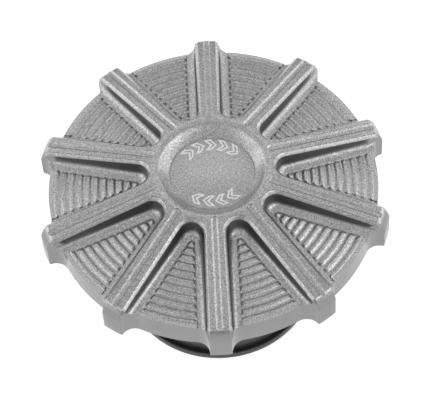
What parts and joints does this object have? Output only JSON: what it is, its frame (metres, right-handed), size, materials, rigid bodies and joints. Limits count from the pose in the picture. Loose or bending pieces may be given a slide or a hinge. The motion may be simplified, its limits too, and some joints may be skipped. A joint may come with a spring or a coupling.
{
  "type": "tank filler cap",
  "caption": "Screw-in tank cap: ribbed billet cover turning a threaded plug through a click ratchet, with vent valves and a rollover ball inside.",
  "frame": {"origin": "on the thread axis, in the plane of the plug's foot, which is the bottom of the whole part", "axes": "+Z along the thread axis, out of the tank, towards the ribbed cover; +Y along one rib and -Y along the opposite rib"},
  "size_m": [0.0872, 0.09, 0.053],
  "materials": {
    "billet": "bead-blasted, satin",
    "black_acetal": "moulded, satin",
    "steel_screw": "zinc plated",
    "spring_steel": "phosphated",
    "white_ptfe": "smooth",
    "black_nylon": "moulded, satin",
    "black_rubber": "smooth rubber",
    "acetal_natural": "moulded",
    "sintered_bronze": "sintered, rough",
    "turned_brass": "turned",
    "bright_spring": "drawn wire",
    "polished_ball": "polished"
  },
  "bodies": {
    "neck": {"neck_body": "black_nylon", "neck_gasket": "black_rubber", "ratchet_spring": "spring_steel", "valve_housing": "black_acetal", "housing_o_ring": "black_rubber", "housing_screws": "steel_screw", "vent_filter": "sintered_bronze", "spring_cap": "steel_screw", "pressure_spring": "bright_spring", "ball_cage": "acetal_natural", "bottom_cover": "black_nylon"},
    "cover": {"cap_cover": "billet", "drive_ring": "black_acetal", "drive_screws": "steel_screw", "retaining_ring": "spring_steel", "thrust_washer": "white_ptfe"},
    "ratchet": {"ratchet_plate": "acetal_natural"},
    "pressure": {"pressure_valve": "turned_brass", "pressure_seal": "black_rubber", "vacuum_spring": "bright_spring"},
    "vacuum": {"vacuum_valve": "turned_brass", "vacuum_seal": "black_rubber", "vacuum_clip": "bright_spring"},
    "ball": {"rollover_ball": "polished_ball"}
  },
  "joints": [
    {"name": "cover_turn", "type": "hinge", "parent": "neck", "child": "cover", "pos_m": [0, 0, 0.0375], "axis": [0, 0, 1], "range_deg": [-19, 0]},
    {"name": "ratchet_slide", "type": "slide", "parent": "neck", "child": "ratchet", "axis": [0, 0, -1], "range_m": [0, 0.0016], "deforming": ["ratchet_spring"]},
    {"name": "pressure_relief", "type": "slide", "parent": "neck", "child": "pressure", "axis": [0, 0, 1], "range_m": [0, 0.002], "stiffness_N_per_m": 1000, "springref_m": -0.003, "deforming": ["pressure_spring"]},
    {"name": "vacuum_relief", "type": "slide", "parent": "pressure", "child": "vacuum", "axis": [0, 0, -1], "range_m": [0, 0.0015], "stiffness_N_per_m": 200, "springref_m": -0.001, "deforming": ["vacuum_spring"]},
    {"name": "ball_lift", "type": "slide", "parent": "neck", "child": "ball", "axis": [0, 0, 1], "range_m": [0, 0.0022]}
  ],
  "couplings": [
    {"joint": "ratchet_slide", "follows": "cover_turn", "m_per_rad": -0.0045837}
  ]
}
